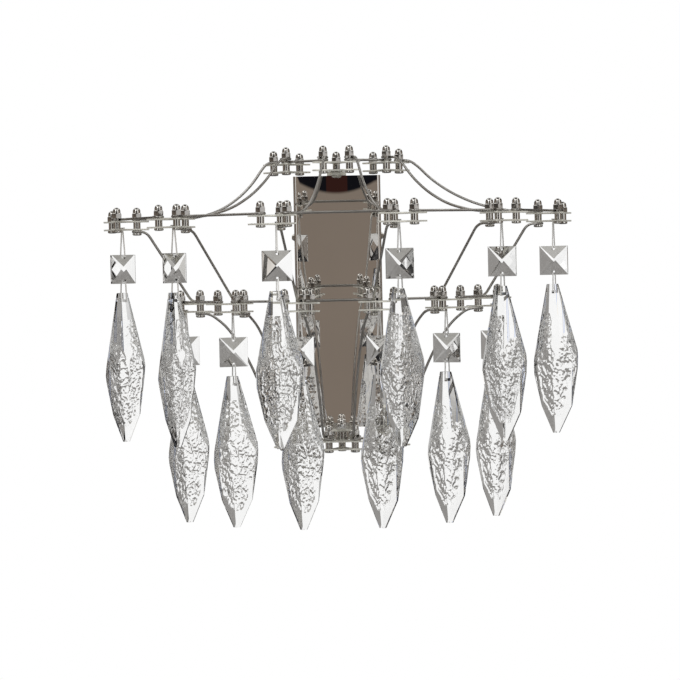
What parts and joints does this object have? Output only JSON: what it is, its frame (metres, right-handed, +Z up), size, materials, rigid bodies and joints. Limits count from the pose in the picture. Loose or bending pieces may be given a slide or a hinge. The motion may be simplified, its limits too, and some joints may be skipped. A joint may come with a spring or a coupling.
{
  "type": "wall sconce",
  "caption": "Half-round wall sconce: a polished box carries tiers of bolted plate pairs and bent rods, hung with swinging strands of square and icicle crystals.",
  "frame": {"origin": "on the wall, midway between the two wall screws", "axes": "+Z up, -Y out into the room, +X to the right seen from the room"},
  "size_m": [0.3611, 0.1901, 0.2861],
  "materials": {
    "bracket_steel": "zinc-plated folded sheet, satin",
    "mirror_steel": "mirror-polished chromed sheet",
    "polished_hardware": "bright chromed screws, nuts and discs",
    "polished_plate": "bright chromed stamped plate",
    "polished_rod": "bright chromed bent rod",
    "circuit_board": "white solder mask",
    "frosted_pane": "frosted translucent pane",
    "driver_case": "white moulded case",
    "terminal_plastic": "off-white moulded block",
    "strand_wire": "bright plated wire",
    "crystal": "clear cut glass with hammered panels"
  },
  "bodies": {
    "fixture": {"wall_bracket": "bracket_steel", "cover_box": "mirror_steel", "cover_side_screws": "polished_hardware", "arm_screws": "polished_hardware", "frame_arms": "mirror_steel", "washers": "polished_hardware", "bolts": "polished_hardware", "acorn_nuts": "polished_hardware", "top_plates": "polished_plate", "wide_plates": "polished_plate", "lower_plates": "polished_plate", "bottom_plates": "polished_plate", "top_ring_rods": "polished_rod", "wide_ring_rods": "polished_rod", "lower_ring_rods": "polished_rod", "bottom_ring_rods": "polished_rod", "canopy_rods": "polished_rod", "side_struts": "polished_rod", "basket_rods": "polished_rod", "led_boards": "circuit_board", "diffusers": "frosted_pane", "led_driver": "driver_case", "terminal_block": "terminal_plastic"},
    "strand_1": {"wires_1": "strand_wire", "square_1": "crystal"},
    "drop_1": {"pendant_1": "crystal"},
    "strand_2": {"wires_2": "strand_wire", "square_2": "crystal"},
    "drop_2": {"pendant_2": "crystal"},
    "strand_3": {"wires_3": "strand_wire", "square_3": "crystal"},
    "drop_3": {"pendant_3": "crystal"},
    "strand_4": {"wires_4": "strand_wire", "square_4": "crystal"},
    "drop_4": {"pendant_4": "crystal"},
    "strand_5": {"wires_5": "strand_wire", "square_5": "crystal"},
    "drop_5": {"pendant_5": "crystal"},
    "strand_6": {"wires_6": "strand_wire", "square_6": "crystal"},
    "drop_6": {"pendant_6": "crystal"},
    "strand_7": {"wires_7": "strand_wire", "square_7": "crystal"},
    "drop_7": {"pendant_7": "crystal"},
    "strand_8": {"wires_8": "strand_wire", "square_8": "crystal"},
    "drop_8": {"pendant_8": "crystal"},
    "strand_9": {"wires_9": "strand_wire", "square_9": "crystal"},
    "drop_9": {"pendant_9": "crystal"},
    "strand_10": {"wires_10": "strand_wire", "square_10": "crystal"},
    "drop_10": {"pendant_10": "crystal"},
    "strand_11": {"wires_11": "strand_wire", "square_11": "crystal"},
    "drop_11": {"pendant_11": "crystal"},
    "strand_12": {"wires_12": "strand_wire", "square_12": "crystal"},
    "drop_12": {"pendant_12": "crystal"}
  },
  "joints": [
    {"name": "strand_1_swing", "type": "hinge", "parent": "fixture", "child": "strand_1", "pos_m": [-0.16421, -0.054, 0.0599], "axis": [-0.6428, 0.766, 0], "range_deg": [-10, 10]},
    {"name": "drop_1_swing", "type": "hinge", "parent": "strand_1", "child": "drop_1", "pos_m": [-0.16421, -0.054, 0.00477], "axis": [-0.6428, 0.766, 0], "range_deg": [-12, 12]},
    {"name": "strand_2_swing", "type": "hinge", "parent": "fixture", "child": "strand_2", "pos_m": [-0.12021, -0.13021, 0.0599], "axis": [-0.7193, 0.6947, 0], "range_deg": [-10, 10]},
    {"name": "drop_2_swing", "type": "hinge", "parent": "strand_2", "child": "drop_2", "pos_m": [-0.12021, -0.13021, 0.00477], "axis": [-0.7193, 0.6947, 0], "range_deg": [-12, 12]},
    {"name": "strand_3_swing", "type": "hinge", "parent": "fixture", "child": "strand_3", "pos_m": [-0.044, -0.17421, 0.0599], "axis": [-0.225, 0.9744, 0], "range_deg": [-10, 10]},
    {"name": "drop_3_swing", "type": "hinge", "parent": "strand_3", "child": "drop_3", "pos_m": [-0.044, -0.17421, 0.00477], "axis": [-0.225, 0.9744, 0], "range_deg": [-12, 12]},
    {"name": "strand_4_swing", "type": "hinge", "parent": "fixture", "child": "strand_4", "pos_m": [0.044, -0.17421, 0.0599], "axis": [0.4695, 0.8829, 0], "range_deg": [-10, 10]},
    {"name": "drop_4_swing", "type": "hinge", "parent": "strand_4", "child": "drop_4", "pos_m": [0.044, -0.17421, 0.00477], "axis": [0.4695, 0.8829, 0], "range_deg": [-12, 12]},
    {"name": "strand_5_swing", "type": "hinge", "parent": "fixture", "child": "strand_5", "pos_m": [0.12021, -0.13021, 0.0599], "axis": [0.4384, 0.8988, 0], "range_deg": [-10, 10]},
    {"name": "drop_5_swing", "type": "hinge", "parent": "strand_5", "child": "drop_5", "pos_m": [0.12021, -0.13021, 0.00477], "axis": [0.4384, 0.8988, 0], "range_deg": [-12, 12]},
    {"name": "strand_6_swing", "type": "hinge", "parent": "fixture", "child": "strand_6", "pos_m": [0.16421, -0.054, 0.0599], "axis": [0.3584, 0.9336, 0], "range_deg": [-10, 10]},
    {"name": "drop_6_swing", "type": "hinge", "parent": "strand_6", "child": "drop_6", "pos_m": [0.16421, -0.054, 0.00477], "axis": [0.3584, 0.9336, 0], "range_deg": [-12, 12]},
    {"name": "strand_7_swing", "type": "hinge", "parent": "fixture", "child": "strand_7", "pos_m": [-0.11784, -0.04158, -0.0039], "axis": [-0.5592, 0.829, 0], "range_deg": [-10, 10]},
    {"name": "drop_7_swing", "type": "hinge", "parent": "strand_7", "child": "drop_7", "pos_m": [-0.11784, -0.04158, -0.05903], "axis": [-0.5592, 0.829, 0], "range_deg": [-12, 12]},
    {"name": "strand_8_swing", "type": "hinge", "parent": "fixture", "child": "strand_8", "pos_m": [-0.0799, -0.0899, -0.0039], "axis": [-0.3746, 0.9272, 0], "range_deg": [-10, 10]},
    {"name": "drop_8_swing", "type": "hinge", "parent": "strand_8", "child": "drop_8", "pos_m": [-0.0799, -0.0899, -0.05903], "axis": [-0.3746, 0.9272, 0], "range_deg": [-12, 12]},
    {"name": "strand_9_swing", "type": "hinge", "parent": "fixture", "child": "strand_9", "pos_m": [-0.02925, -0.11915, -0.0039], "axis": [-0.5, 0.866, 0], "range_deg": [-10, 10]},
    {"name": "drop_9_swing", "type": "hinge", "parent": "strand_9", "child": "drop_9", "pos_m": [-0.02925, -0.11915, -0.05903], "axis": [-0.5, 0.866, 0], "range_deg": [-12, 12]},
    {"name": "strand_10_swing", "type": "hinge", "parent": "fixture", "child": "strand_10", "pos_m": [0.02925, -0.11915, -0.0039], "axis": [0.5, 0.866, 0], "range_deg": [-10, 10]},
    {"name": "drop_10_swing", "type": "hinge", "parent": "strand_10", "child": "drop_10", "pos_m": [0.02925, -0.11915, -0.05903], "axis": [0.5, 0.866, 0], "range_deg": [-12, 12]},
    {"name": "strand_11_swing", "type": "hinge", "parent": "fixture", "child": "strand_11", "pos_m": [0.0799, -0.0899, -0.0039], "axis": [0.4848, 0.8746, 0], "range_deg": [-10, 10]},
    {"name": "drop_11_swing", "type": "hinge", "parent": "strand_11", "child": "drop_11", "pos_m": [0.0799, -0.0899, -0.05903], "axis": [0.4848, 0.8746, 0], "range_deg": [-12, 12]},
    {"name": "strand_12_swing", "type": "hinge", "parent": "fixture", "child": "strand_12", "pos_m": [0.11784, -0.04158, -0.0039], "axis": [0.5878, 0.809, 0], "range_deg": [-10, 10]},
    {"name": "drop_12_swing", "type": "hinge", "parent": "strand_12", "child": "drop_12", "pos_m": [0.11784, -0.04158, -0.05903], "axis": [0.5878, 0.809, 0], "range_deg": [-12, 12]}
  ]
}
